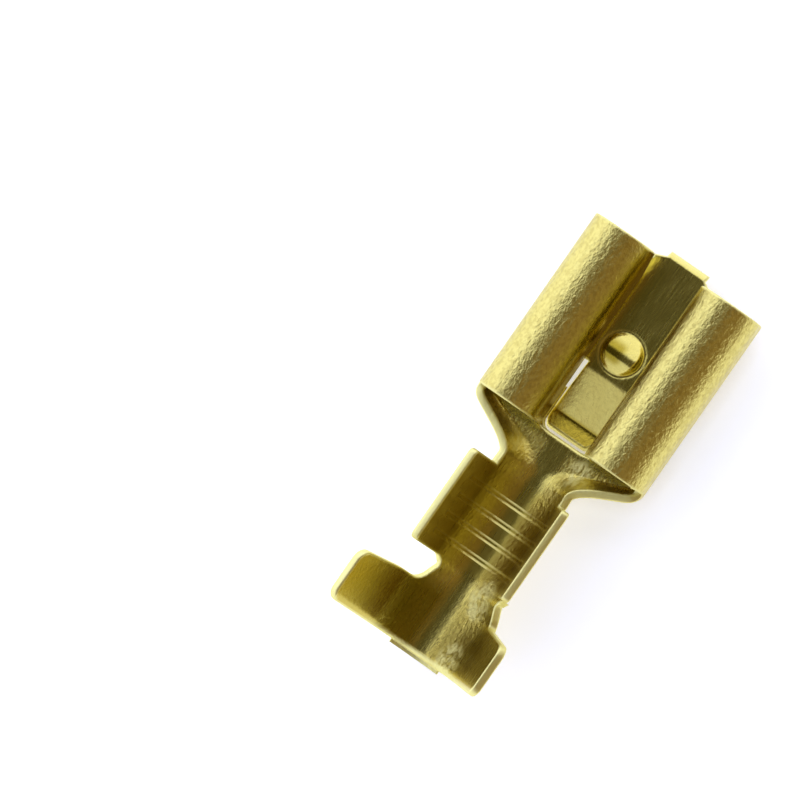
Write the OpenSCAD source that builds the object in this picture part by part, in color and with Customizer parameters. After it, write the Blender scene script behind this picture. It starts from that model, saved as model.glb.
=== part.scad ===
// Female spade terminal for a 6.3 x 0.8 mm tab, with open crimp barrels for the wire and its jacket.
// One strip of brass, blanked and folded: it is a single solid.
// x runs across, +y points out of the tab mouth and +z out of the open barrels.

/* [Sheet] */
// Thickness of the brass strip
sheet_t = 0.35; // [0.3:0.01:0.4]

/* [Receptacle] */
// Width over both rolled sides
rec_w = 7.8; // [7.4:0.1:8.6]
// Height over the rolled sides
rec_h = 2.65; // [2.4:0.05:3]
// Length of the rolled sides
rec_l = 8.0; // [7:0.1:9]
// Width of one rolled side
roll_w = 2.75; // [2.7:0.05:3]
// Outer radius where the floor turns up into a side
corner_r = 0.85; // [0.6:0.05:1]
// Free gap between a rolled edge and the floor, which the tab springs open
lip_gap = 0.3; // [0.2:0.05:0.6]
// Length of the lead-in chamfer on each rolled edge
lip_lead = 1.0; // [0.5:0.1:1.5]

/* [Tongue at the mouth] */
// Reach of the tongue beyond the rolled sides
tongue_reach = 0.45; // [0.2:0.05:0.8]
// Width of the tongue at its tip
tongue_w = 1.8; // [1.2:0.1:2]
// Width of the tongue at its root
tongue_root_w = 2.6; // [2.2:0.1:2.8]
// Length of the sloping face at its tip
tongue_bevel = 0.26; // [0.1:0.02:0.28]
// Depth of the relief on each side of the tongue
relief_d = 0.12; // [0.05:0.01:0.3]

/* [Dimple and lance] */
// Diameter of the locking dimple
dimple_d = 1.6; // [1.2:0.05:1.8]
// Height of the ridge of the dimple above the floor
dimple_h = 0.3; // [0.2:0.02:0.4]
// Distance of that ridge behind the middle of the dimple
dimple_ridge = 0.1; // [0:0.05:0.2]
// Distance from the mouth to the middle of the dimple
dimple_y = 3.95; // [3.6:0.05:4.1]
// Length of the cross slot in front of the lance window
slot_l = 1.3; // [0.8:0.1:1.6]
// Width of the cross slot
slot_w = 6.9; // [5:0.1:7]
// Distance from the mouth to the front of the cross slot
slot_y = 4.9; // [4.8:0.05:5.2]
// Width of the lance window
window_w = 2.24; // [2.12:0.02:2.28]
// Corner radius of the lance window
window_r = 0.4; // [0.2:0.05:0.6]
// Width of the lance
lance_w = 2.04; // [1.6:0.02:2.08]
// Slope of the lance in degrees
lance_angle = 19; // [14:1:24]
// Length of the sloping panel of the lance
lance_l = 2.2; // [1.9:0.05:2.3]
// Length of the turned-back end of the lance
lance_lip = 0.62; // [0.3:0.02:0.7]
// Upward slope of the turned-back end in degrees
lance_lip_angle = 14; // [0:1:30]

/* [Neck] */
// Length of the neck between the receptacle and the wire barrel
neck_l = 2.2; // [1.8:0.1:3]
// Height of the neck walls at the receptacle
neck_h_front = 1.3; // [1.1:0.05:1.4]
// Height of the neck walls at the wire barrel
neck_h_rear = 1.2; // [0.8:0.05:1.3]

/* [Wire barrel] */
// Length of the wire barrel
wire_l = 4.2; // [3:0.1:5]
// Inner radius of the wire barrel
wire_r = 1.5; // [1.3:0.05:1.6]
// Outward lean of its ears in degrees
wire_lean = 17; // [10:1:22]
// Length of the straight part of its ears
wire_ear = 2.0; // [1.5:0.05:2.4]
// Corner radius of its ears
wire_ear_r = 0.22; // [0.1:0.02:0.4]
// Number of serrations across the wire barrel
groove_n = 4; // [2:1:5]
// Distance between serrations
groove_pitch = 0.83; // [0.6:0.01:0.9]
// Width of a serration
groove_w = 0.17; // [0.1:0.01:0.25]
// Depth of a serration
groove_d = 0.08; // [0.04:0.01:0.12]
// Height of the rib that each serration raises outside
rib_h = 0.04; // [0.02:0.01:0.08]
// Distance of the serrations behind the middle of the barrel
groove_back = 0.13; // [0:0.01:0.2]
// Plain margin between the serrations and the top of the ears
groove_margin = 0.6; // [0.3:0.05:1]

/* [Insulation barrel] */
// Length of the insulation barrel
jacket_l = 2.5; // [2:0.05:3]
// Inner radius of the insulation barrel
jacket_r = 1.75; // [1.65:0.05:2]
// Outward lean of its ears in degrees
jacket_lean = 31; // [22:1:34]
// Length of the straight part of its ears
jacket_ear = 3.45; // [2.5:0.05:4]
// Corner radius of its ears
jacket_ear_r = 0.5; // [0.3:0.05:0.7]
// Slant of the front edge of its ears, as a setback at the tip
jacket_slant = 0.24; // [0:0.03:0.4]
// Length of the notch between the two barrels
notch_l = 1.2; // [0.9:0.05:1.8]
// Height of the wall left at the bottom of the left notch
notch_h_left = 0.6; // [0.5:0.05:1.2]
// Height of the wall left at the bottom of the right notch, which is shallower
notch_h_right = 1.1; // [0.5:0.05:1.2]
// Corner radius of the notch
notch_r = 0.4; // [0.2:0.05:0.45]
// Width of the cut-off stub at the rear end
stub_w = 2.2; // [1.5:0.1:2.6]
// Length of the cut-off stub
stub_l = 0.15; // [0.05:0.05:0.4]

/* [Hidden] */
$fn = 96;
BRASS = [0.78, 0.68, 0.27];
EPS = 0.02;            // overlap that makes a cut pass through
SINK = 0.08;           // how far a lofted end sits inside the wall it joins
SINK_IN = 0.015;       // how far it lies under that wall's faces there
NECK_RINGS = 22;
NOTCH_RINGS = 16;
HALF_COLS = 14;        // columns of a lofted wall on each side of the middle
DIMPLE_DRAFT = 0.16;   // how much narrower the dimple is at the height of its ridge
LEAD_SLOPE = 0.6;      // rise of the lead-in chamfer over its length
LANCE_SETBACK = 0.1;   // plain floor between the cross slot and the bend of the lance
NECK_START = 0.1;      // plain floor between the rolled sides and the start of the narrowing
NECK_SPAN = 0.78;      // share of the neck in which its floor narrows
CORNER_SPAN = 0.5;     // share of the neck in which its corners open out

// Lengthwise stations, from the rear edge of the rolled sides
front_y = rec_l + tongue_reach;
wire_y = -neck_l;
notch_y = wire_y - wire_l;
jacket_y = notch_y - notch_l;
rear_y = jacket_y - jacket_l;
mid_y = (front_y + rear_y - stub_l) / 2;

roll_r = rec_h / 2;
roll_x = rec_w / 2 - roll_w;     // inner face of a rolled side
wire_ro = wire_r + sheet_t;
jacket_ro = jacket_r + sheet_t;

function lerp(a, b, k) = a + (b - a) * k;
function smooth(k) = let (c = max(0, min(1, k))) c * c * (3 - 2 * c);
function unit(v) = v / norm(v);

// Side view of the lance: a path of [y, z] points on the middle of the sheet
lance_root = rec_l - slot_y;
lance_bend = [lance_root - LANCE_SETBACK, sheet_t / 2];
lance_knee = lance_bend + lance_l * [-cos(lance_angle), -sin(lance_angle)];
lance_path = [
    [lance_root + sheet_t, sheet_t / 2],
    lance_bend,
    lance_knee,
    lance_knee + lance_lip * [-cos(lance_lip_angle), sin(lance_lip_angle)]
];

// Points at a distance d to the side of a path, mitred at its bends
function side_of(path, d) = [for (i = [0 : len(path) - 1])
    let (
        a = unit(path[max(1, i)] - path[max(1, i) - 1]),
        b = unit(path[min(len(path) - 1, i + 1)] - path[min(len(path) - 1, i + 1) - 1]),
        m = unit([-a[1] - b[1], a[0] + b[0]])
    )
    path[i] + m * d / (m * [-a[1], a[0]])];
function reversed(list) = [for (i = [len(list) - 1 : -1 : 0]) list[i]];
lance_outline = concat(side_of(lance_path, sheet_t / 2), reversed(side_of(lance_path, -sheet_t / 2)));
lance_low = min([for (p = lance_outline) p[1]]);

// A 2D section in x and z, carried forward along y
module along_y(from, length) {
    translate([0, from + length, 0])
        rotate([90, 0, 0])
            linear_extrude(length)
                children();
}

// A 2D side view in y and z, carried across x
module along_x(width) {
    rotate([90, 0, 90])
        translate([0, 0, -width / 2])
            linear_extrude(width)
                children();
}

module both_sides() {
    children();
    mirror([1, 0, 0]) children();
}

// Everything inside the outline of one rolled side, drawn smaller by inset
module roll_fill(inset) {
    translate([rec_w / 2 - roll_r, roll_r])
        circle(roll_r - inset);
    translate([roll_x + roll_r, roll_r])
        circle(roll_r - inset);
    translate([rec_w / 2 - corner_r, corner_r])
        circle(corner_r - inset);
    translate([roll_x + inset, inset])
        square([roll_w - corner_r - inset, roll_r - inset]);
    translate([rec_w / 2 - corner_r, corner_r])
        square([corner_r - inset, roll_r - corner_r]);
    translate([roll_x + roll_r, roll_r])
        square([roll_w - 2 * roll_r, roll_r - inset]);
}

module roll_section() {
    difference() {
        roll_fill(0);
        roll_fill(sheet_t);
        translate([roll_x - EPS, sheet_t])
            square([sheet_t + 2 * EPS, lip_gap]);
    }
}

// Lead-in at the mouth: it slopes the rolled edge up and back
module lip_lead_cut() {
    along_x(2 * (roll_x + sheet_t + EPS))
        polygon([
            [rec_l - lip_lead, sheet_t + lip_gap],
            [rec_l + EPS, sheet_t + lip_gap],
            [rec_l + EPS, sheet_t + lip_gap + LEAD_SLOPE * lip_lead]
        ]);
}

module receptacle() {
    difference() {
        union() {
            along_y(0, rec_l) {
                both_sides() roll_section();
                translate([-rec_w / 2 + corner_r, 0])
                    square([rec_w - 2 * corner_r, sheet_t]);
            }
            translate([0, 0, sheet_t])
                dimple_form(dimple_d / 2);
        }
        dimple_form(dimple_d / 2 - DIMPLE_DRAFT);
        lip_lead_cut();
        mouth_reliefs();
        floor_cuts();
    }
    tongue();
    lance();
}

module mouth_reliefs() {
    both_sides()
        translate([tongue_root_w / 2, rec_l - relief_d, -EPS])
            cube([roll_x + sheet_t - tongue_root_w / 2, relief_d + EPS, sheet_t + 2 * EPS]);
}

// The slot and window are cut through the floor and stop below the rolled edges
module floor_cuts() {
    translate([0, 0, -EPS])
        linear_extrude(sheet_t + lip_gap / 2) {
            translate([-slot_w / 2, lance_root - slot_l])
                square([slot_w, slot_l]);
            window_shape();
        }
}

module window_shape() {
    straight = window_w - 2 * window_r;
    translate([-window_w / 2, window_r])
        square([window_w, lance_root - slot_l - window_r + EPS]);
    translate([-straight / 2, 0])
        square([straight, window_r]);
    for (side = [-1, 1])
        translate([side * straight / 2, window_r])
            circle(window_r);
}

module tongue() {
    difference() {
        linear_extrude(sheet_t)
            polygon([
                [-tongue_root_w / 2, rec_l - relief_d],
                [tongue_root_w / 2, rec_l - relief_d],
                [tongue_root_w / 2, rec_l],
                [tongue_w / 2, rec_l + tongue_reach - tongue_bevel],
                [tongue_w / 2, front_y],
                [-tongue_w / 2, front_y],
                [-tongue_w / 2, rec_l + tongue_reach - tongue_bevel],
                [-tongue_root_w / 2, rec_l]
            ]);
        along_x(tongue_root_w)
            polygon([
                [front_y - tongue_bevel, sheet_t],
                [front_y + EPS, sheet_t - tongue_bevel],
                [front_y + EPS, sheet_t + EPS],
                [front_y - tongue_bevel, sheet_t + EPS]
            ]);
    }
}

// A round boss with a roof: two ramps meet at a ridge that runs across the terminal.
// The floor carries one above, and its hollow below.
module dimple_form(r) {
    middle = rec_l - dimple_y;
    intersection() {
        translate([0, middle, -EPS])
            cylinder(h = dimple_h + EPS, r1 = r, r2 = r - DIMPLE_DRAFT);
        along_x(2 * r)
            polygon([
                [middle - r, -EPS],
                [middle + r, -EPS],
                [middle + r, 0],
                [middle - dimple_ridge, dimple_h],
                [middle - r, 0]
            ]);
    }
}

module lance() {
    along_x(lance_w)
        polygon(lance_outline);
}

// Lower part of a trough wall, from the middle of the floor outward, at column k of cols.
// The floor is flat to flat_w and turns up round radius r; a straight wall follows, up to height h.
function trough_point(flat_w, r, h, k) =
    let (
        turn = h >= r ? 90 : acos(1 - h / r),
        arc = r * turn * PI / 180,
        wall = max(0, h - r),
        s = k * (flat_w + arc + wall)
    )
    s <= flat_w ? [s, 0]
    : s <= flat_w + arc ?
        let (a = (s - flat_w) / r * 180 / PI) [flat_w + r * sin(a), r * (1 - cos(a))]
    : [flat_w + r, r + s - flat_w - arc];

// The neck: the floor narrows, and its corners open out into the round barrel before that is done
function neck_x(y) = lerp(rec_w / 2, wire_ro, smooth((-y - NECK_START) / (NECK_SPAN * neck_l)));
function neck_r(y) = lerp(corner_r, wire_ro, smooth(-y / (CORNER_SPAN * neck_l)));
function neck_h(y) = lerp(neck_h_front, neck_h_rear, smooth(-y / neck_l));
function neck_point(y, k) =
    let (
        r = neck_r(y),
        p = trough_point(neck_x(y) - r, r, neck_h(y), abs(k))
    )
    [sign(k) * p[0], y, p[1]];

// The bottom strip between the barrels, with filleted ends
function notch_r_at(y) = lerp(wire_ro, jacket_ro, smooth((notch_y - y) / notch_l));
function fillet(d) = d >= notch_r ? 0 : notch_r - sqrt(pow(notch_r, 2) - pow(notch_r - max(0, d), 2));
function notch_point(y, k) =
    let (
        r = notch_r_at(y),
        h = k < 0 ? notch_h_left : notch_h_right,
        reach = acos(1 - h / r) * PI / 180 * r + fillet(notch_y - y) + fillet(y - jacket_y),
        a = abs(k) * reach / r * 180 / PI
    )
    [sign(k) * r * sin(a), y, r * (1 - cos(a))];

function skin_point(kind, y, k) = kind == "neck" ? neck_point(y, k) : notch_point(y, k);

// Inward normal of a skin, from small steps along and across it
function skin_normal(kind, y, k) =
    let (
        step = 0.004,
        k1 = min(1, k + step),
        k0 = max(-1, k - step),
        along = skin_point(kind, y + step, k) - skin_point(kind, y - step, k),
        across = skin_point(kind, y, k1) - skin_point(kind, y, k0)
    )
    unit(cross(across, along));

// A wall of the sheet's thickness over a skin, as one closed mesh.
// Its two end rings are thinner, so that they lie inside the walls they join.
module sheet_over(kind, from, to, rings) {
    cols = 2 * HALF_COLS;
    ring_y = concat(
        [from + SINK],
        [for (i = [0 : rings]) lerp(from - SINK, to + SINK, i / rings)],
        [to - SINK]
    );
    last = len(ring_y) - 1;
    function place(i, j, d) =
        let (
            edge = i == 0 || i == last,
            y = ring_y[i],
            flat_y = i == 0 ? from : i == last ? to : y,
            k = (j / HALF_COLS - 1) * (edge ? 0.99 : 1),
            n = skin_normal(kind, flat_y, k),
            m = edge ? unit([n[0], 0, n[2]]) : n,
            p = skin_point(kind, flat_y, k)
        )
        [p[0], y, p[2]] + m * (edge ? lerp(SINK_IN, sheet_t - SINK_IN, d) : d * sheet_t);
    points = [for (d = [0, 1]) for (i = [0 : last]) for (j = [0 : cols]) place(i, j, d)];
    function id(i, j, d) = d * (last + 1) * (cols + 1) + i * (cols + 1) + j;
    faces = concat(
        [for (i = [0 : last - 1]) for (j = [0 : cols - 1]) for (half = [0, 1])
            half == 0 ? [id(i, j, 0), id(i + 1, j, 0), id(i + 1, j + 1, 0)]
                      : [id(i, j, 0), id(i + 1, j + 1, 0), id(i, j + 1, 0)]],
        [for (i = [0 : last - 1]) for (j = [0 : cols - 1]) for (half = [0, 1])
            half == 0 ? [id(i, j, 1), id(i + 1, j + 1, 1), id(i + 1, j, 1)]
                      : [id(i, j, 1), id(i, j + 1, 1), id(i + 1, j + 1, 1)]],
        [for (i = [0 : last - 1]) for (half = [0, 1])
            half == 0 ? [id(i, 0, 0), id(i, 0, 1), id(i + 1, 0, 1)]
                      : [id(i, 0, 0), id(i + 1, 0, 1), id(i + 1, 0, 0)]],
        [for (i = [0 : last - 1]) for (half = [0, 1])
            half == 0 ? [id(i, cols, 0), id(i + 1, cols, 1), id(i, cols, 1)]
                      : [id(i, cols, 0), id(i + 1, cols, 0), id(i + 1, cols, 1)]],
        [for (j = [0 : cols - 1]) for (half = [0, 1])
            half == 0 ? [id(0, j, 0), id(0, j + 1, 0), id(0, j + 1, 1)]
                      : [id(0, j, 0), id(0, j + 1, 1), id(0, j, 1)]],
        [for (j = [0 : cols - 1]) for (half = [0, 1])
            half == 0 ? [id(last, j, 0), id(last, j + 1, 1), id(last, j + 1, 0)]
                      : [id(last, j, 0), id(last, j, 1), id(last, j + 1, 1)]]
    );
    polyhedron(points, faces);
}

module neck() {
    sheet_over("neck", 0, wire_y, NECK_RINGS);
}

module barrel_link() {
    sheet_over("notch", notch_y, jacket_y, NOTCH_RINGS);
}

// Inside of an open barrel: a disc of radius r on the axis, opening upward between two leaning ears.
// The ears end square to the sheet, at the inner radius rim.
module barrel_fill(r, rim, lean, ear) {
    out = [cos(lean), -sin(lean)];
    up = [sin(lean), cos(lean)];
    side = [r * out, r * out + ear * up, rim * out + ear * up];
    circle(r);
    polygon(concat([[0, 0]], side, reversed([for (p = side) [-p[0], p[1]]])));
}

// Wall of an open barrel whose outside has radius ro, between the radii outer and inner.
// ear is the straight length beyond the arc.
module barrel_section(ro, outer, inner, lean, ear) {
    translate([0, ro])
        difference() {
            barrel_fill(outer, inner, lean, ear);
            barrel_fill(inner, inner, lean, ear + 2 * outer);
        }
}

// Height of an ear's top above the floor's underside
function ear_top(ro, lean, ear) = ro * (1 - sin(lean)) + ear * cos(lean) + sheet_t * sin(lean);

// What is cut off a corner of the ears: a square less a quarter disc.
// end is +1 for a front corner and -1 for a rear one.
module corner_cut(y, z, r, end) {
    translate([y, z])
        mirror([end < 0 ? 1 : 0, 0])
            difference() {
                translate([-r, -r])
                    square(2 * r);
                translate([-r, -r])
                    circle(r);
            }
}

module wire_barrel() {
    top = ear_top(wire_ro, wire_lean, wire_ear);
    middle = wire_y - wire_l / 2 - groove_back;
    first = middle - (groove_n - 1) / 2 * groove_pitch;
    difference() {
        union() {
            along_y(notch_y, wire_l)
                barrel_section(wire_ro, wire_ro, wire_r, wire_lean, wire_ear);
            for (i = [0 : groove_n - 1])
                along_y(first + i * groove_pitch - groove_w / 2, groove_w)
                    barrel_section(wire_ro, wire_ro + rib_h, wire_ro - sheet_t / 2,
                        wire_lean, wire_ear - groove_margin);
        }
        for (i = [0 : groove_n - 1])
            along_y(first + i * groove_pitch - groove_w / 2, groove_w)
                barrel_section(wire_ro, wire_r + groove_d, wire_r - EPS,
                    wire_lean, wire_ear - groove_margin);
        along_x(rec_w) {
            corner_cut(wire_y, top, wire_ear_r, 1);
            corner_cut(notch_y, top, wire_ear_r, -1);
        }
    }
}

module insulation_barrel() {
    top = ear_top(jacket_ro, jacket_lean, jacket_ear);
    difference() {
        along_y(rear_y, jacket_l)
            barrel_section(jacket_ro, jacket_ro, jacket_r, jacket_lean, jacket_ear);
        along_x(2 * rec_w) {
            polygon([
                [jacket_y + EPS, max(notch_h_left, notch_h_right) + notch_r],
                [jacket_y + EPS, top + EPS],
                [jacket_y - jacket_slant, top + EPS]
            ]);
            corner_cut(jacket_y - jacket_slant, top, jacket_ear_r, 1);
            corner_cut(rear_y, top, jacket_ear_r, -1);
        }
    }
}

// What is left of the carrier strip after the terminal is cut off
module stub() {
    along_y(rear_y - stub_l, stub_l + EPS)
        intersection() {
            barrel_section(jacket_ro, jacket_ro, jacket_r, jacket_lean, jacket_ear);
            translate([-stub_w / 2, 0])
                square([stub_w, jacket_ro]);
        }
}

module terminal() {
    color(BRASS)
        translate([0, -mid_y, -lance_low]) {
            receptacle();
            neck();
            wire_barrel();
            barrel_link();
            insulation_barrel();
            stub();
        }
}

terminal();
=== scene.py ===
# Female spade terminal: one folded sheet of satin brass on a white table.
# The sheet is worked out in millimetres as a flat blank, y along its length and s across it,
# and folded up; x runs across, +y points out of the tab mouth and +z out of the open barrels.
import math
import bpy
import numpy as np
from mathutils import Matrix, Vector


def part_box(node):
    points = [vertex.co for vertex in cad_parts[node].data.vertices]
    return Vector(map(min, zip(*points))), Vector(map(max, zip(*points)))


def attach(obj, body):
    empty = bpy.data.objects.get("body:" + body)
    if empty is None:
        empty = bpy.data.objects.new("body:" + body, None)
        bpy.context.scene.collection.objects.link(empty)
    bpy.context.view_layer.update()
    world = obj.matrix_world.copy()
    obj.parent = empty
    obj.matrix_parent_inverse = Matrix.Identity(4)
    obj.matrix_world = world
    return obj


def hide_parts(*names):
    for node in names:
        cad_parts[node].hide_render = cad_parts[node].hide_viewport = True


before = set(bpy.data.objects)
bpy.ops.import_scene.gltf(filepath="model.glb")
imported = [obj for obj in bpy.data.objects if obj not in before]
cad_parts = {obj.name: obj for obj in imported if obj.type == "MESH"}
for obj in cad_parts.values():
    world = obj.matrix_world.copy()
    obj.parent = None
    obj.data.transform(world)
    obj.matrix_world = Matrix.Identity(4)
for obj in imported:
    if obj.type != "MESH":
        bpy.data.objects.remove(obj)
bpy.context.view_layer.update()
mm = 0.001
nodeLow, nodeHigh = (np.array(corner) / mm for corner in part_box("terminal"))
print("frame loaded")


def blend(a, b, k):
    return a + (b - a) * k


def smooth(k):  # 0 below 0, 1 above 1, 3k^2 - 2k^3 between
    k = np.clip(k, 0, 1)
    return k * k * (3 - 2 * k)


def lesser(a, b, ease):  # the smaller of two, rounded where they cross
    return (a + b - np.sqrt((a - b) ** 2 + ease ** 2)) / 2


def chain(s, start, heading, pieces):
    # Points at the distances s along a chain of arcs; each piece is (length, turn in radians).
    # An arc of curvature c run for d ends d*sin(c*d/2)/(c*d/2) away, at half its turn.
    across, up, begun = start[0] + 0 * s, start[1] + 0 * s, 0.0
    for length, turn in pieces:
        d = np.clip(s - begun, 0, length)
        half = turn / length * d / 2
        reach = d * np.sinc(half / np.pi)
        across = across + reach * np.cos(heading + half)
        up = up + reach * np.sin(heading + half)
        begun, heading = begun + length, heading + turn
    return across, up


def spread(a, b, count, nearA=(), nearB=()):
    # Stations from a up to, but not including, b: a, those at the distances nearA from it,
    # count equal steps, and those at the distances nearB from b
    a1, b1 = a + sum(nearA[-1:]), b - sum(nearB[-1:])
    inner = [blend(a1, b1, k) for k in np.linspace(0, 1, count + 1)[1:-1]]
    return [a] + [a + d for d in nearA] + inner + [b - d for d in reversed(nearB)]


def quarter(radius, count):  # distances from the end of a quarter circle, at equal angles
    return tuple(radius * (1 - np.cos(np.linspace(0, np.pi / 2, count + 1)[1:])))


def both(first, second):
    return tuple(sorted({round(float(d), 4) for d in first + second}))


def ellipseFall(k):  # from 1 at k = 0 to 0 at k = 1, down a quarter ellipse
    return 1 - np.sqrt(1 - (1 - np.clip(k, 0, 1)) ** 2)


def cutBack(d, radius):  # how far a quarter circle falls back at the distance d from its end
    d = np.clip(d, 0, radius)
    return radius - np.sqrt(radius ** 2 - (radius - d) ** 2)


# Sizes in mm and degrees. Every list of steps holds shares of the length that it follows.
sheet = {"thickness": 0.35, "edgeRound": 0.075, "edgeSteps": (0.134, 0.5, 1, 1.7),
         "rearFall": 0.18, "rearLength": 0.3, "rearSteps": (0.03, 0.1, 0.2, 0.35, 0.5, 0.75, 1, 1.3),
         "shearedTo": 0.03, "shearedEase": 0.07, "beyond": 9.0, "floorTop": 1.0}
receptacle = {"width": 7.8, "height": 2.65, "length": 8.0, "rollWidth": 2.82, "cornerRadius": 0.85,
              "lipGap": 0.15, "leadLength": 1.0, "leadRise": 0.6}
tongue = {"reach": 0.45, "width": 1.8, "rootWidth": 2.6, "bevel": 0.26, "bevelSlope": 0.6, "relief": 0.12,
          "across": 0.08, "acrossOver": 0.3}
dimple = {"across": -0.07, "diameter": 1.62, "height": 0.3, "fromMouth": 3.95, "frontRamp": 0.8,
          "rearRamp": 0.55, "draft": 0.13, "ease": 0.05, "footEase": 0.02, "margin": 0.2,
          "moat": 0.022, "moatAt": 0.08, "moatHalf": 0.06, "moatReach": 0.3}
lance = {"fromMouth": 4.9, "width": 2.04, "slope": 19.0, "length": 2.2, "lip": 0.74, "lipSlope": 16.0,
         "rootLap": 0.05, "bendRadius": 0.45, "kneeRadius": 0.09, "flare": 0.1, "cornerFall": 0.36,
         "cornerLength": 0.8, "columnsOver": 1.0}
window = {"width": 2.28, "radius": 0.4, "slotLength": 1.3, "slotWidth": 6.9,
          "fall": 0.12, "fallLength": 0.17, "fallSteps": (0.03, 0.1, 0.2, 0.35, 0.6, 1),
          "fallPast": 0.1, "fallEase": 0.25,
          # painted shade: how much pale cut colour the window's left edge loses, across and along
          "shade": {"share": 0.9, "across": -1.3, "half": 0.4, "rear": 0.3}}
neck = {"length": 2.2, "frontHeight": 1.3, "rearHeight": 1.2, "start": 0.04, "span": 0.78, "cornerSpan": 0.5,
        "lean": 19.0, "leanSpan": 0.22, "swell": 0.3, "swellAt": 0.35}
wireBarrel = {"length": 4.2, "flat": 0.1, "innerRadius": 1.425, "lean": 15.9, "ear": 2.015,
              "earRadius": 0.22}
grooves = {"count": 4, "pitch": 0.83, "width": 0.17, "depth": 0.08, "rib": 0.04, "back": 0.13, "margin": 0.6,
           "steps": (-0.85, -0.62, -0.4, -0.2, 0, 0.2, 0.4, 0.62, 0.85), "fade": 0.15,
           "wallFrom": 0.7, "wallEase": 0.5, "flankEase": 0.6,
           # painted highlight on the groove flanks, strongest near the middle
           "sheen": 0.25, "middleSheen": 0.6, "middle": 0.1, "middleHalf": 0.75}
jacketBarrel = {"length": 2.5, "flat": 0.0, "innerRadius": 2.2, "lean": 26.8, "ear": 2.88, "earRadius": 0.5,
                "slant": 0.24}
notch = {"length": 1.2, "left": (0.58, 0.58), "right": (1.9, 1.25), "radius": 0.4}  # heights, front and rear
stub = {"width": 2.2, "length": 0.15}

# Equal steps of the mesh along the blank, from the stub forward, round the corners and across one half
rowCounts = {"stub": 2, "jacket": 12, "notch": 5, "wireRear": 4, "groove": 4, "wireFront": 6, "neck": 29,
             "slot": 10, "window": 6, "dimple": 42, "front": 20, "relief": 1, "tongue": 4, "lance": 40}
arcCounts = {"jacketEar": 6, "wireEar": 4, "notch": 6, "window": 6, "lance": 8}
bandCounts = {"tongue": 22, "window": 1, "relief": 2, "slot": 10, "wall": 10, "end": 31}
# Where those bands run behind the window, where no cut edge leads them
bandLines = {"gather": 0.6, "tongueRear": 0.7, "tongueFront": 0.6, "windowGap": 0.2, "windowRear": 0.95,
             "reliefRear": 1.5, "reliefNotch": 1.15, "slotEase": 1.5, "slotGap": 0.25}

thick = sheet["thickness"]
mouthY = receptacle["length"]
frontY = mouthY + tongue["reach"]
reliefY = mouthY - tongue["relief"]
dimpleY = mouthY - dimple["fromMouth"]
lanceY = mouthY - lance["fromMouth"]
slotY = lanceY - window["slotLength"]
wireY = -neck["length"]
notchY = wireY - wireBarrel["length"]
jacketY = notchY - notch["length"]
rearY = jacketY - jacketBarrel["length"]
stubY = rearY - stub["length"]
firstGroove = (wireY + notchY) / 2 - grooves["back"] - (grooves["count"] - 1) / 2 * grooves["pitch"]
wireMid = wireBarrel["innerRadius"] + thick / 2
jacketMid = jacketBarrel["innerRadius"] + thick / 2
rollMid = (receptacle["height"] - thick) / 2
sideX = receptacle["width"] / 2
windowCorner = window["width"] / 2 - window["radius"]
edge = sheet["edgeRound"]
near = tuple(edge * k for k in sheet["edgeSteps"])


def neckHeight(y):
    return blend(neck["frontHeight"], neck["rearHeight"], smooth(-y / neck["length"]))


def section(y):
    # The middle of the sheet across the station y, from the middle outward:
    # floor, corner, side, roll and inner leg, each with its length and turn.
    narrowed = smooth((-y - neck["start"]) / (neck["span"] * neck["length"]))
    opened = smooth(-y / (neck["cornerSpan"] * neck["length"]))
    outerHalf = blend(sideX, wireBarrel["flat"] + wireMid + thick / 2, narrowed)
    radius = blend(receptacle["cornerRadius"] - thick / 2, wireMid, opened)
    k = np.clip(-y / neck["length"], 0, 1)
    radius = radius + neck["swell"] * smooth(k / neck["swellAt"]) * smooth((1 - k) / (1 - neck["swellAt"]))
    radius = np.where(y < notchY, blend(wireMid, jacketMid, smooth((notchY - y) / notch["length"])), radius)
    floor = np.maximum(outerHalf - thick / 2 - radius, 0)
    neckLean = neck["lean"] * smooth(-y / (neck["leanSpan"] * neck["length"]))
    lean = np.select([y < notchY, y <= wireY], [jacketBarrel["lean"], wireBarrel["lean"]], neckLean)
    turn = np.radians(90 - lean)
    side = np.where(y < 0, sheet["beyond"], receptacle["height"] / 2 - receptacle["cornerRadius"])
    roll = np.pi * rollMid + receptacle["rollWidth"] - receptacle["height"]
    return [(floor + 1e-9, 0 * y), (radius * turn, turn), (side, 0 * y), (roll, np.pi + 0 * y),
            (sheet["beyond"], 0 * y)]


def fold(y, s):
    x, z = chain(np.abs(s), (0.0, thick / 2), 0.0, section(y))
    aside = tongue["across"] * smooth((y - mouthY) / tongue["acrossOver"])
    return np.stack([np.sign(s) * x + aside, y, z], -1)


def heightReach(y, height):
    # Distance across the sheet at which its wall is that high outside
    (floor, _), (arc, turn), _, _, _ = section(y)
    radius = arc / turn + thick / 2
    angle = np.arccos(np.clip(1 - height / radius, -1, 1))
    above = np.maximum(height - radius * (1 - np.cos(turn)), 0)
    return floor + (radius - thick / 2) * np.minimum(angle, turn) + above / np.sin(turn)


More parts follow.
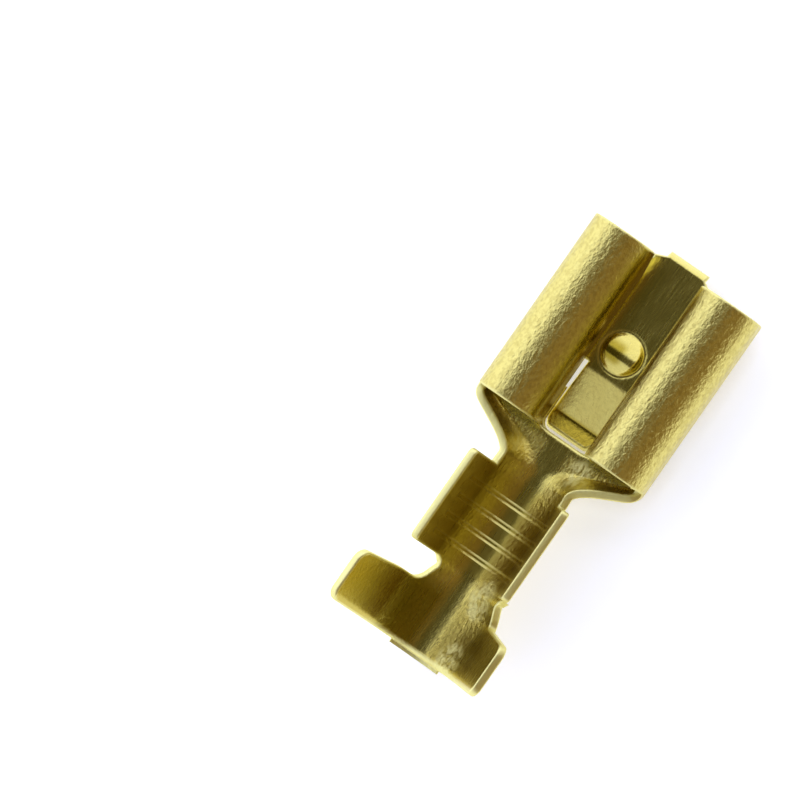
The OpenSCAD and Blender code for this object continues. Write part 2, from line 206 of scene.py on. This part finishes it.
def blankRows():
    # Stations along the blank, closer at each cut edge, each rounded corner, the dimple and the grooves
    rear = tuple(sheet["rearLength"] * k for k in sheet["rearSteps"])
    fall = tuple(window["fallLength"] * k for k in window["fallSteps"])
    ear = quarter(jacketBarrel["earRadius"], arcCounts["jacketEar"])
    smallEar = quarter(wireBarrel["earRadius"], arcCounts["wireEar"])
    bite = quarter(notch["radius"], arcCounts["notch"])
    windowCorners = quarter(window["radius"], arcCounts["window"])
    groove = [k * grooves["width"] for k in grooves["steps"]]
    grooveYs = [firstGroove + i * grooves["pitch"] for i in range(grooves["count"])]
    dimpleEnd = dimpleY + dimple["diameter"] / 2 + dimple["margin"]
    rows = spread(stubY, rearY, rowCounts["stub"], near[:3])
    rows += spread(rearY, jacketY, rowCounts["jacket"], both(rear, ear), both(near, ear))
    rows += spread(jacketY, notchY, rowCounts["notch"], bite, bite)
    rows += spread(notchY, grooveYs[0] + groove[0], rowCounts["wireRear"], both(near, smallEar))
    for y, following in zip(grooveYs, grooveYs[1:]):
        rows += [y + d for d in groove[:-1]]
        rows += spread(y + groove[-1], following + groove[0], rowCounts["groove"])
    rows += [grooveYs[-1] + d for d in groove[:-1]]
    rows += spread(grooveYs[-1] + groove[-1], wireY, rowCounts["wireFront"], nearB=both(near, smallEar))
    rows += spread(wireY, 0.0, rowCounts["neck"], nearB=fall)
    rows += spread(0.0, slotY, rowCounts["slot"], both(near, windowCorners), near)
    rows += spread(slotY, lanceY, rowCounts["window"])
    rows += spread(lanceY, dimpleEnd, rowCounts["dimple"], near)
    rows += spread(dimpleEnd, reliefY, rowCounts["front"], nearB=near)
    rows += spread(reliefY, mouthY, rowCounts["relief"], nearB=near[:3])
    rows += spread(mouthY, frontY, rowCounts["tongue"], nearB=near[:3] + (tongue["bevel"],))
    return np.array(rows + [frontY])


def blankColumns(y, notchHeights):
    # Distances across one half of the blank at each station y. The columns follow its cut edges:
    # a tongue and lance, b window, r relief, c cross slot, d neck and notch wall, e free end.
    along = lambda ys, values: np.interp(y, ys, values)
    cornerMid = receptacle["cornerRadius"] - thick / 2
    cornerX = sideX - receptacle["cornerRadius"]
    slotEdge = cornerX + cornerMid * math.asin((window["slotWidth"] / 2 - cornerX) / cornerMid)
    jacketFlat, jacketLean = jacketBarrel["flat"], jacketBarrel["lean"]
    stubEdge = math.asin((stub["width"] / 2 - jacketFlat) / jacketMid) * jacketMid + jacketFlat
    reliefEnd = sideX - receptacle["rollWidth"] + thick
    lanceHalf, rootHalf, windowHalf = lance["width"] / 2, tongue["rootWidth"] / 2, window["width"] / 2
    rounded = windowHalf - cutBack(y, window["radius"])
    gatherY, tongueHalf = rearY + bandLines["gather"], tongue["width"] / 2
    a = along([rearY, gatherY, 0, slotY, lanceY, lanceY + lance["columnsOver"], reliefY, mouthY,
               frontY - tongue["bevel"], frontY],
              [stubEdge, bandLines["tongueRear"], bandLines["tongueFront"], lanceHalf, lanceHalf, lanceHalf,
               rootHalf, rootHalf, tongueHalf, tongueHalf])
    behind = along([rearY, gatherY, 0], [stubEdge + bandLines["windowGap"], bandLines["windowRear"],
                                         windowHalf - window["radius"]])
    ahead = along([lanceY, reliefY], [windowHalf, (rootHalf + reliefEnd) / 2])
    b = np.where(y < 0, behind, np.where(y > lanceY, ahead, rounded))
    r = along([rearY, notchY, 0], [bandLines["reliefRear"], bandLines["reliefNotch"], reliefEnd])
    corner = notch["radius"]
    front, rear = notchHeights
    inNotch = heightReach(y, blend(front, rear, np.clip((notchY - y) / notch["length"], 0, 1))) \
        + cutBack(notchY - y, corner) + cutBack(y - jacketY, corner)
    atWire, atJacket, atNotch = (float(heightReach(np.array(at), height)) + more for at, height, more in (
        (wireY + 1e-6, neck["rearHeight"], 0), (jacketY, rear, corner), (notchY - 1e-6, front, corner)))
    d = np.select([y < jacketY, y <= notchY, y <= wireY, y < 0],
                  [atJacket, inNotch, blend(atNotch, atWire, (y - notchY) / wireBarrel["length"]),
                   heightReach(y, neckHeight(y))],
                  float(heightReach(np.array(0.0), neck["frontHeight"])))
    toSlot = blend(blend(r, d, 0.5), slotEdge, smooth(1 + y / bandLines["slotEase"]))
    c = np.minimum(np.where(y < 0, toSlot, slotEdge), d - bandLines["slotGap"])
    wireEnd = wireBarrel["flat"] + wireMid * math.radians(90 - wireBarrel["lean"]) + wireBarrel["ear"]
    jacketEnd = jacketFlat + jacketMid * math.radians(90 - jacketLean) + jacketBarrel["ear"]
    rollEnd = sum(float(length) for length, _ in section(np.array(1.0))[:4]) \
        + receptacle["height"] / 2 - thick - receptacle["lipGap"]
    lead = receptacle["leadRise"] * np.clip((y - mouthY) / receptacle["leadLength"] + 1, 0, 1)
    wireRadius, jacketRadius = wireBarrel["earRadius"], jacketBarrel["earRadius"]
    e = np.select([y <= jacketY, y <= wireY + 1e-6],
                  [jacketEnd - cutBack(jacketY - y, jacketRadius) - cutBack(y - rearY, jacketRadius),
                   wireEnd - cutBack(wireY - y, wireRadius) - cutBack(y - notchY, wireRadius)],
                  rollEnd - lead)
    lines = {"tongue": (0 * y, a, (), near), "window": (a, b), "relief": (b, r, near),
             "slot": (r, c, near[:3]), "wall": (c, d, near[:3], near[:3]), "end": (d, e, (), near)}
    bands = {label: spread(first, last, bandCounts[label], *closer)
             for label, (first, last, *closer) in lines.items()}
    marks = dict(zip(bands, np.cumsum([len(band) for band in bands.values()])))
    return np.stack(sum(bands.values(), []) + [e], 1), marks


def buildSheet():
    rowY = blankRows()
    left, marks = blankColumns(rowY, notch["left"])
    right, marks = blankColumns(rowY, notch["right"])
    s = np.concatenate([-left[:, :0:-1], right], 1)
    y = np.broadcast_to(rowY[:, None], s.shape)
    columns = np.arange(s.shape[1]) - marks["end"]
    cellCol = np.minimum(np.abs(columns[:-1]), np.abs(columns[1:]))  # inner column of each cell
    cellY = (rowY[:-1] + rowY[1:]) / 2
    inside = lambda low, high, first, end: ((cellY > low) & (cellY < high))[:, None] \
        & ((cellCol >= first) & (cellCol < end))[None, :]
    keep = inside(stubY, rearY, 0, marks["tongue"]) | inside(rearY, jacketY, 0, marks["end"]) \
        | inside(jacketY, notchY, 0, marks["wall"]) | inside(notchY, wireY, 0, marks["end"]) \
        | inside(wireY, 0, 0, marks["wall"]) | inside(0, mouthY, 0, marks["end"]) \
        | inside(mouthY, frontY, 0, marks["tongue"])
    keep &= ~inside(0, slotY, 0, marks["window"]) & ~inside(slotY, lanceY, 0, marks["slot"])
    keep &= ~inside(reliefY, mouthY, marks["tongue"], marks["relief"])

    # the front edge of the jacket's ears slants back towards their tips
    slantFrom = float(heightReach(np.array(jacketY), notch["right"][1])) + notch["radius"]
    share = np.clip((np.abs(s) - slantFrom) / jacketBarrel["ear"], 0, 1)
    onJacket = (y <= jacketY) & (y >= rearY)
    y = y - jacketBarrel["slant"] * share * onJacket * (y - rearY) / jacketBarrel["length"]

    middle = fold(y, s)
    step = 1e-4
    alongY = (fold(y + step, s) - fold(y - step, s)) / (2 * step)
    varies = ((y > wireY) & (y < 0)) | ((y > jacketY) & (y < notchY))
    alongY = np.where(varies[..., None], alongY, [0.0, 1.0, 0.0])
    alongS = (fold(y, s + step) - fold(y, s - step)) / (2 * step)
    normal = np.cross(alongS, alongY)
    normal /= np.linalg.norm(normal, axis=-1, keepdims=True)

    # lance: the side view is a chain of arcs run back from its root
    slope, lip = math.radians(lance["slope"]), math.radians(lance["lipSlope"])
    bend, knee = lance["bendRadius"] * slope, lance["kneeRadius"] * (slope + lip)
    pieces = [(lance["rootLap"], 0.0), (bend, slope),
              (lance["length"] - bend / 2 - knee / 2 + lance["rootLap"], 0.0),
              (knee, -slope - lip), (lance["lip"] - knee / 2, 0.0)]
    total = sum(length for length, _ in pieces)
    corner = quarter(lance["cornerLength"], arcCounts["lance"])
    run = np.array(spread(0.0, total, rowCounts["lance"], nearB=both(near, corner)) + [total])
    back, drop = chain(run, (0.0, 0.0), 0.0, pieces)
    angle = np.arctan2(np.gradient(drop, run), np.gradient(back, run))
    rootRow = int(np.argmin(np.abs(rowY - lanceY)))
    lanceCols = np.abs(columns) <= marks["tongue"]
    x = middle[rootRow, lanceCols, 0]
    narrowed = 1 - lance["cornerFall"] * ellipseFall((total - run) / lance["cornerLength"]) / x.max()
    x = narrowed[:, None] * x - (lance["flare"] * back)[:, None] * (0.5 - x / (2 * x.max()))
    strip = np.stack(np.broadcast_arrays(x, (lanceY - back)[:, None], (thick / 2 - drop)[:, None]), -1)[::-1]
    stripNormal = np.stack(np.broadcast_arrays(0 * x, -np.sin(angle)[:, None], np.cos(angle)[:, None]), -1)
    stripNormal = stripNormal[::-1]

    # number the vertices that a kept cell uses, then the lance's own
    ids = np.arange(s.size).reshape(s.shape)
    stripIds = s.size + np.arange(strip.shape[0] * strip.shape[1]).reshape(strip.shape[:2])
    stripIds[-1] = ids[rootRow, lanceCols]
    quads = lambda grid: np.stack([grid[:-1, :-1], grid[:-1, 1:], grid[1:, 1:], grid[1:, :-1]], -1)
    faces = np.concatenate([quads(ids)[keep], quads(stripIds).reshape(-1, 4)])
    points = np.concatenate([middle.reshape(-1, 3), strip.reshape(-1, 3)])
    normals = np.concatenate([normal.reshape(-1, 3), stripNormal.reshape(-1, 3)])
    used, faces = np.unique(faces, return_inverse=True)
    faces = faces.reshape(-1, 4)
    points, normals = points[used], normals[used]
    print("sheet:", len(points), "points,", len(faces), "cells")

    # open edges are those that no second cell runs the other way
    starts, ends = faces.ravel(), np.roll(faces, -1, axis=1).ravel()
    openEdge = ~np.isin(ends * len(points) + starts, starts * len(points) + ends)
    starts, ends = starts[openEdge], ends[openEdge]
    away = edgeDistance(points, points[starts], points[ends])

    # each skin lies half the thickness off the middle and rounds off near an open edge;
    # the upper one also falls a quarter ellipse to the rear
    px, py, pz = points.T
    fall = sheet["rearFall"] * ellipseFall((py - rearY) / sheet["rearLength"])
    atWindow = (py <= 0) * (1 - smooth((np.abs(px) - windowCorner - window["fallPast"]) / window["fallEase"]))
    fall = np.maximum(fall, window["fall"] * atWindow * ellipseFall(-py / window["fallLength"]))
    upper = thick / 2 - np.maximum(cutBack(away, edge), fall)
    lower = thick / 2 - cutBack(away, edge)
    groove, flank = grooveProfile(py, pz)
    upper = upper - grooves["depth"] * groove
    lower = lower + grooves["rib"] * groove
    tip = np.clip((py - (frontY - tongue["bevel"])) / tongue["bevel"], 0, 1)
    onFloor = pz < sheet["floorTop"]
    upper = upper - tongue["bevelSlope"] * tongue["bevel"] * tip * onFloor
    rise = (dimpleRise(px, py) * onFloor)[:, None] * [0, 0, 1]
    inner = points + normals * upper[:, None] + rise
    outer = points - normals * lower[:, None] + rise
    count = len(points)
    rim = np.stack([ends, starts, starts + count, ends + count], -1)
    # painted highlight: the groove flanks take the pale cut colour, most near the middle
    centred = np.exp(-((px - grooves["middle"]) / grooves["middleHalf"]) ** 2)
    flankHighlight = flank * (grooves["sheen"] + grooves["middleSheen"] * centred)
    # painted highlight: sheared faces and the stub take the pale cut colour
    sheared = np.maximum(1 - smooth((away - sheet["shearedTo"]) / sheet["shearedEase"]), py < rearY - 0.01)
    # painted shade: the window's left edge, which lies in shade under the roll, loses most of its pale cut
    # colour
    shade = window["shade"]
    shaded = (np.abs(px - shade["across"]) < shade["half"]) & (py > shade["rear"]) & (py < lanceY)
    sheared = sheared * (1 - shade["share"] * shaded)
    attributes = {"cutAndFlankHighlight": np.concatenate([np.maximum(sheared, flankHighlight), sheared]),
                  "innerFace": np.repeat([1.0, 0.0], count)}
    return np.concatenate([inner, outer]), np.concatenate([faces, faces[:, ::-1] + count, rim]), attributes


def edgeDistance(points, starts, ends):
    # Distance of each point to the nearest open edge, worked out in slices
    along = ends - starts
    lengthSquared = np.maximum((along ** 2).sum(1), 1e-12)
    slices = np.array_split(points, len(points) // 400 + 1)
    result = []
    for part in slices:
        offset = part[:, None, :] - starts[None]
        k = np.clip((offset * along).sum(2) / lengthSquared, 0, 1)
        result.append(np.sqrt(((offset - k[..., None] * along) ** 2).sum(2).min(1)))
    return np.concatenate(result)


def grooveProfile(y, z):
    # 1 in the bottom of a groove and 0 outside it, and 0 again near the top of the ears;
    # then the share of painted highlight, which is highest along the two flanks
    index = np.clip(np.round((y - firstGroove) / grooves["pitch"]), 0, grooves["count"] - 1)
    off = np.abs(y - firstGroove - index * grooves["pitch"]) / (grooves["width"] / 2)
    lean = math.radians(wireBarrel["lean"])
    earTop = wireMid * (1 - math.sin(lean)) + wireBarrel["ear"] * math.cos(lean)
    inBarrel = (y < wireY) & (y > notchY)
    low = inBarrel * smooth((earTop - grooves["margin"] - z) / grooves["fade"])
    depth = 1 - smooth((off - grooves["wallFrom"]) / grooves["wallEase"])
    return depth * low, (1 - smooth(np.abs(off - 1) / grooves["flankEase"])) * low


def dimpleRise(x, y):
    # Two ramps meet at a flat ridge, inside a drafted round side; a faint moat runs round it
    half, height, back = dimple["diameter"] / 2, dimple["height"], y - dimpleY
    off = np.hypot(x - dimple["across"], back)
    front = height * (half - back) / dimple["frontRamp"]
    rear = height * (half + back) / dimple["rearRamp"]
    side = height * (half - off) / dimple["draft"]
    roof = lesser(lesser(front, rear, dimple["ease"]), height, dimple["ease"] / 2)
    form = lesser(roof, side, dimple["ease"])
    eased = (form + np.sqrt(form ** 2 + dimple["footEase"] ** 2)) / 2
    moat = dimple["moat"] * np.exp(-((off - half - dimple["moatAt"]) / dimple["moatHalf"]) ** 2)
    return eased * (off < half + dimple["moatReach"]) - moat


def addMesh(name, points, faces, material, attributes={}):
    mesh = bpy.data.meshes.new(name)
    mesh.vertices.add(len(points))
    mesh.vertices.foreach_set("co", (points * mm).ravel())
    mesh.loops.add(faces.size)
    mesh.loops.foreach_set("vertex_index", faces.ravel())
    mesh.polygons.add(len(faces))
    mesh.polygons.foreach_set("loop_start", np.arange(0, faces.size, faces.shape[1]))
    mesh.update(calc_edges=True)
    mesh.validate()
    mesh.shade_smooth()
    for label, values in attributes.items():
        mesh.attributes.new(label, "FLOAT", "POINT").data.foreach_set("value", values)
    mesh.materials.append(material)
    piece = bpy.data.objects.new(name, mesh)
    bpy.context.scene.collection.objects.link(piece)
    return piece


class Wire:
    # A socket in a node tree. Sums and products of wires and numbers add Math nodes.
    def __init__(self, tree, socket=None):
        self.tree, self.socket = tree, socket

    def node(self, kind, settings, inputs, output=0):
        made = self.tree.nodes.new(kind)
        for name, value in settings.items():
            setattr(made, name, value)
        for name, value in inputs.items():
            if isinstance(value, Wire):
                self.tree.links.new(value.socket, made.inputs[name])
            else:
                made.inputs[name].default_value = value
        return Wire(self.tree, made.outputs[output]) if made.outputs else None

    def math(self, operation, a, b):
        return self.node("ShaderNodeMath", {"operation": operation}, {0: a, 1: b})

    def __add__(self, other):
        return self.math("ADD", self, other)

    def __sub__(self, other):
        return self.math("SUBTRACT", self, other)

    def __rsub__(self, other):
        return self.math("SUBTRACT", other, self)

    def __mul__(self, other):
        return self.math("MULTIPLY", self, other)

    def __truediv__(self, other):
        return self.math("DIVIDE", self, other)

    def __pow__(self, power):
        return self.math("POWER", self, power)

    def clipped(self):  # no more than 1
        return self.math("MINIMUM", self, 1.0)

    def size(self):  # without its sign
        return self.math("ABSOLUTE", self, 0.0)

    __radd__, __rmul__ = __add__, __mul__

    def mix(self, a, b):  # colour a where this wire is 0 and colour b where it is 1
        color = lambda c: c if isinstance(c, Wire) else (*c, 1)
        return self.node("ShaderNodeMix", {"data_type": "RGBA"}, {0: self, 6: color(a), 7: color(b)}, 2)

    def noise(self, pattern):  # this wire is the place; the scales are per metre along x, y and z
        scaled = self.node("ShaderNodeMapping", {}, {"Vector": self, "Scale": pattern["scales"]})
        return self.node("ShaderNodeTexNoise", {}, {"Vector": scaled, "Scale": 1.0,
                                                    "Detail": pattern["detail"],
                                                    "Roughness": pattern["roughness"]})

    def between(self, low, high):  # 0 at low, 1 at high, eased at both
        first, last = (0.0, 1.0) if low < high else (1.0, 0.0)
        return self.node("ShaderNodeMapRange", {"interpolation_type": "SMOOTHSTEP"},
                         {"Value": self, "From Min": min(low, high), "From Max": max(low, high),
                          "To Min": first, "To Max": last})


def newMaterial(name):
    material = bpy.data.materials.new(name)
    material.use_nodes = True
    material.node_tree.nodes.clear()
    return material, Wire(material.node_tree)


# painted shade: inside and shaded are darker brass for hollows and shadowed floors; painted highlight: cut is
# pale brass for edges and patches
brassFinish = {"colour": (0.73, 0.62, 0.145), "tarnish": (0.62, 0.49, 0.10), "inside": (0.46, 0.34, 0.03),
               "shaded": (0.32, 0.25, 0.02), "speck": (0.42, 0.32, 0.06), "rolled": (0.79, 0.69, 0.19),
               "cut": (0.92, 0.86, 0.32),
               "roughness": 0.21, "rolledRoughness": 0.28, "innerRoughness": 0.27, "cutRougher": 0.25,
               "grainRougher": 0.08, "peel": 0.000010, "rolledPeel": 0.000048, "grain": 0.000002}
brassPatterns = {"streak": {"scales": (4200, 2400, 4200), "detail": 3.0, "roughness": 0.6},
                 "peel": {"scales": (7500, 4600, 7500), "detail": 3.0, "roughness": 0.6},
                 "grain": {"scales": (14000, 900, 14000), "detail": 3.0, "roughness": 0.6},
                 "cloud": {"scales": (900, 420, 900), "detail": 3.0, "roughness": 0.6},
                 "speckle": {"scales": (6500, 5000, 6500), "detail": 2.0, "roughness": 0.5}}
# Each mask is 0 at the first number and 1 at the second: across, along and up the part in mm,
# and on the patterns
brassMasks = {
    "left": (0.2, -0.2), "receptacle": (-0.05, 0.05), "rolled": (1.25, 1.6),
    "wireFront": (wireY + 0.3, wireY - 0.3), "wireRear": (notchY - 0.2, notchY + 0.2),
    "bentAcross": (0.3, 0.7), "bentLow": (1.6, 1.0), "bentBehind": (-0.1, -0.5),
    "inRoll": (1.2, 1.1),
    "legAcross": (1.7, 1.45), "legOver": (0.45, 0.6), "legUnder": (2.3, 2.0),
    "lipRear": (1.05, 0.85), "lipUnder": (0.1, 0.0), "lipAcross": (1.3, 1.2),
    "jacket": (jacketY + 0.8, jacketY - 0.2), "jacketHigh": (1.2, 1.9), "jacketRight": (0.2, 0.6),
    "shadedRight": (-0.15, -0.6), "shadedLeft": (-2.3, -1.4),
    "rearEdge": (rearY + 0.26, rearY + 0.12), "rearLeft": (-2.6, -0.8),
    "streak": (0.38, 0.6), "cloud": (0.45, 0.75), "speckle": (0.42, 0.62), "grain": (0.3, 0.8),
    "patch": (1.3, 0.2)}
# shares of painted shade in the jacket, leg and wire barrel, of painted highlight at the rear edge and on the
# floor patches, and of random tone
brassShares = {"jacketHigh": 0.45, "jacketRight": 0.3, "leg": 0.4, "rear": 0.75, "patchHighlight": 0.9, "wire": 0.55,
               "cloud": 0.45, "speckle": 0.32}
highlightPatches = [  # painted highlight: pale patches on the floor that stand in for reflections; centre across and along, and half its size
    {"centre": (1.3, rearY + 0.6), "half": (0.55, 0.8), "share": 1.0},
    {"centre": (1.05, notchY - 0.5), "half": (0.6, 0.9), "share": 1.0},
    {"centre": (1.25, -0.8), "half": (0.55, 0.7), "share": 1.0},
    {"centre": (-1.55, -1.2), "half": (0.35, 0.45), "share": 0.7}]


def brassMaterial(zero):
    # zero is the place of the blank's origin; the stretched outsides of the bends are rougher, the insides
    # of the barrels and rolled sides darker with painted shade, and the sheared edges pale with painted
    # highlight
    material, wire = newMaterial("satinBrass")
    place = wire.node("ShaderNodeTexCoord", {}, {}, "Object")
    side, y, z = (wire.node("ShaderNodeSeparateXYZ", {}, {"Vector": place}, axis) for axis in "XYZ")
    side, y, z = side / mm, (y - float(zero[1])) / mm, (z - float(zero[2])) / mm
    x = side.size()
    mask = lambda label, value: value.between(*brassMasks[label])
    cut, inner = (wire.node("ShaderNodeAttribute", {"attribute_name": label}, {}, "Fac")
                  for label in ("cutAndFlankHighlight", "innerFace"))
    peel, grain, cloud = (place.noise(brassPatterns[label]) for label in ("peel", "grain", "cloud"))
    streak, speckle = (mask(label, place.noise(brassPatterns[label])) for label in ("streak", "speckle"))

    inMouth = mask("receptacle", y)
    rolled = mask("rolled", x) * inMouth
    inWire = mask("wireFront", y) * mask("wireRear", y) * inner
    bent = mask("bentAcross", x) * mask("bentLow", z) * mask("bentBehind", y) * inner
    rollX, rollZ = sideX - receptacle["rollWidth"] / 2, receptacle["height"] / 2
    inRoll = mask("inRoll", ((x - rollX) ** 2 + (z - rollZ) ** 2) ** 0.5) * inMouth
    onLeg = mask("left", side) * mask("legAcross", x) * mask("legOver", z) * mask("legUnder", z) * inMouth
    onLip = mask("lipRear", y) * mask("lipUnder", z) * mask("lipAcross", x) * inMouth
    atJacket = mask("jacket", y) * inner
    inJacket = atJacket * (mask("jacketHigh", z) * brassShares["jacketHigh"]
                           + mask("jacketRight", side) * brassShares["jacketRight"])
    # painted shade: the jacket's left floor and the left roll's leg darker still
    shaded = atJacket * mask("shadedRight", side) * mask("shadedLeft", side) + brassShares["leg"] * onLeg
    # painted highlight: the rear edge turns pale, fading out towards the left
    rearHighlight = mask("rearEdge", y) * mask("rearLeft", side) * brassShares["rear"]
    patchHighlight = 0.0
    for patch in highlightPatches:
        (acrossAt, alongAt), (acrossHalf, alongHalf) = patch["centre"], patch["half"]
        off = ((side - acrossAt) / acrossHalf) ** 2 + ((y - alongAt) / alongHalf) ** 2
        patchHighlight = patch["share"] * mask("patch", off) + patchHighlight
    # painted highlight: the rear edge and streaky floor patches join the pale cut colour on the inner face
    cut = (cut + (rearHighlight + brassShares["patchHighlight"] * patchHighlight * streak) * inner).clipped()
    # painted shade: the insides of the jacket and wire barrel, the rolls, the left leg and the lance's lip
    # turn darker
    dark = (inJacket + brassShares["wire"] * inWire + inRoll + onLeg + onLip).clipped() * (1 - cut)

    peelDepth = (rolled + bent) * (brassFinish["rolledPeel"] - brassFinish["peel"]) + brassFinish["peel"]
    height = (peel - 0.5) * peelDepth + grain * brassFinish["grain"]
    bump = wire.node("ShaderNodeBump", {}, {"Strength": 1.0, "Distance": 1.0, "Height": height})
    tint = (mask("cloud", cloud) * brassShares["cloud"]).mix(brassFinish["colour"], brassFinish["tarnish"])
    tint = rolled.mix(tint, brassFinish["rolled"])
    tint = (speckle * (rolled + bent) * brassShares["speckle"]).mix(tint, brassFinish["speck"])
    # painted shade: the inside and shaded colours go in where those masks are 1
    tint = shaded.mix(dark.mix(tint, brassFinish["inside"]), brassFinish["shaded"])
    rough = rolled * (brassFinish["rolledRoughness"] - brassFinish["roughness"]) + brassFinish["roughness"] \
        + (inWire + bent).clipped() * (brassFinish["innerRoughness"] - brassFinish["roughness"]) \
        + brassFinish["grainRougher"] * mask("grain", grain) + brassFinish["cutRougher"] * cut
    # painted highlight: the pale cut colour goes wherever the cut mask is 1
    shader = wire.node("ShaderNodeBsdfPrincipled", {}, {
        "Base Color": cut.mix(tint, brassFinish["cut"]), "Metallic": 1.0, "Roughness": rough, "Normal": bump})
    wire.node("ShaderNodeOutputMaterial", {}, {"Surface": shader})
    return material


# close is a painted shadow: the glow's colour right next to the metal
table = {"colour": (0.95, 0.96, 0.95), "roughness": 0.9, "specular": 0.2, "size": 6000.0,
         "glow": (0.55, 0.58, 0.65), "contactShade": (0.19, 0.18, 0.19), "reach": 1.15, "samples": 8}


def tableMaterial():
    # Plain white; it glows a little where it is looked at or mirrored, and lights nothing;
    # the glow is less close to the metal, a painted shadow by ambient occlusion
    material, wire = newMaterial("whiteTable")
    seen = wire.node("ShaderNodeLightPath", {}, {}, "Is Camera Ray")
    mirrored = wire.node("ShaderNodeLightPath", {}, {}, "Is Glossy Ray")
    shader = wire.node("ShaderNodeBsdfPrincipled", {}, {
        "Base Color": (*table["colour"], 1), "Roughness": table["roughness"],
        "Specular IOR Level": table["specular"]})
    # painted shadow: ambient occlusion within reach turns the glow towards the close colour near the metal
    openness = wire.node("ShaderNodeAmbientOcclusion", {"samples": table["samples"]},
                         {"Distance": table["reach"] * mm}, "AO")
    glow = wire.node("ShaderNodeEmission", {}, {"Color": openness.mix(table["contactShade"], table["glow"]),
                                                "Strength": seen + mirrored})
    together = wire.node("ShaderNodeAddShader", {}, {0: shader, 1: glow})
    wire.node("ShaderNodeOutputMaterial", {}, {"Surface": together})
    return material


studio = {
    "cameraToward": (0.19, 0.0, 0.98), "lengthLean": 34.9, "viewWidth": 31.06, "lens": 450.0, "sensor": 36.0,
    "aimAcross": -6.413, "aimDown": -1.634,
    "boxes": [
        {"name": "sideBox", "toward": (-1.0, 0.1, 0.35), "far": 400, "size": (800, 300), "strength": 0.25,
         "colour": (1.0, 1.02, 1.3)},
        {"name": "frontBox", "toward": (-0.1, 1.0, 0.6), "far": 400, "size": (500, 350), "strength": 0.25,
         "colour": (1.0, 1.02, 1.3)},
    ],
    "above": (0.06, 0.055, 0.025), "across": (0.247, 0.165, 0.072), "horizon": (0.54, 0.46, 0.33),
    "tent": (1.12, 1.17, 1.65),
    # where on the sky each of these begins and is full; the tent hangs from a line that leans
    # with the direction across and along, and is dimmer over the rear
    "acrossFrom": (-0.15, 0.35), "horizonFrom": (0.25, 0.0),
    "tentFrom": (0.15, 0.30), "tentLeanX": -0.18, "tentLeanY": 0.12, "tentLeft": (0.5, 0.1),
    "dim": 0.3, "dimAlong": (0.1, -0.5), "dimUp": (0.4, 0.65),
}


def aimedAt(place, target):
    direction = (Vector(target) - Vector(place)).normalized()
    return direction.to_track_quat("-Z", "Y")


def addCamera(origin):
    toward = Vector(studio["cameraToward"]).normalized()
    lean = math.radians(studio["lengthLean"])
    length = Vector((0, 1, 0))
    lengthSeen = (length - toward * length.dot(toward)).normalized()
    acrossSeen = lengthSeen.cross(toward)
    up = lengthSeen * math.cos(lean) - acrossSeen * math.sin(lean)
    right = acrossSeen * math.cos(lean) + lengthSeen * math.sin(lean)
    aim = Vector(origin) + (right * studio["aimAcross"] - up * studio["aimDown"]) * mm
    data = bpy.data.cameras.new("camera")
    data.lens, data.sensor_width = studio["lens"], studio["sensor"]
    distance = studio["viewWidth"] * mm * data.lens / data.sensor_width
    data.clip_start, data.clip_end = 0.01, 10.0
    camera = bpy.data.objects.new("camera", data)
    turn = Matrix((right, up, toward)).transposed().to_4x4()
    camera.matrix_world = Matrix.Translation(aim + toward * distance) @ turn
    bpy.context.scene.collection.objects.link(camera)
    bpy.context.scene.camera = camera


def addBox(box):
    data = bpy.data.lights.new(box["name"], "AREA")
    data.shape = "RECTANGLE"
    data.size, data.size_y = (side * mm for side in box["size"])
    data.energy = math.pi * data.size * data.size_y * box["strength"]
    data.color = box["colour"]
    lamp = bpy.data.objects.new(box["name"], data)
    lamp.location = Vector(box["toward"]).normalized() * box["far"] * mm
    lamp.rotation_euler = aimedAt(lamp.location, (0, 0, 0)).to_euler()
    bpy.context.scene.collection.objects.link(lamp)


def addWorld():
    world = bpy.data.worlds.new("studio")
    bpy.context.scene.world = world
    world.use_nodes = True
    world.node_tree.nodes.clear()
    wire = Wire(world.node_tree)
    direction = wire.node("ShaderNodeTexCoord", {}, {}, "Generated")
    x, y, z = (wire.node("ShaderNodeSeparateXYZ", {}, {"Vector": direction}, axis) for axis in "XYZ")
    dark = x.between(*studio["acrossFrom"]).mix(studio["above"], studio["across"])
    dark = z.between(*studio["horizonFrom"]).mix(dark, studio["horizon"])
    fromTop = 1 - z + studio["tentLeanX"] * x + studio["tentLeanY"] * y.size()
    tent = fromTop.between(*studio["tentFrom"]) * x.between(*studio["tentLeft"])
    tent = tent * (1 - studio["dim"] * y.between(*studio["dimAlong"]) * z.between(*studio["dimUp"]))
    shade = tent.mix(dark, studio["tent"])
    back = wire.node("ShaderNodeBackground", {}, {"Color": shade, "Strength": 1.0})
    wire.node("ShaderNodeOutputWorld", {}, {"Surface": back})


points, faces, attributes = buildSheet()
origin = np.array([0, nodeHigh[1] - points[:, 1].max(), nodeLow[2] - points[:, 2].min()])
terminal = addMesh("terminal_sheet", points + origin, faces, brassMaterial(origin * mm), attributes)
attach(terminal, "root")
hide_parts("terminal")
print("terminal folded")

halfTable = table["size"] / 2
corners = np.array([[-1, -1, 0], [1, -1, 0], [1, 1, 0], [-1, 1, 0]]) * halfTable
tableTop = addMesh("table_top", corners, np.array([[0, 1, 2, 3]]), tableMaterial())
for box in studio["boxes"]:
    addBox(box)
addWorld()
addCamera(Vector(origin) * mm)
bpy.context.scene.view_settings.view_transform = "Standard"
print("studio set")
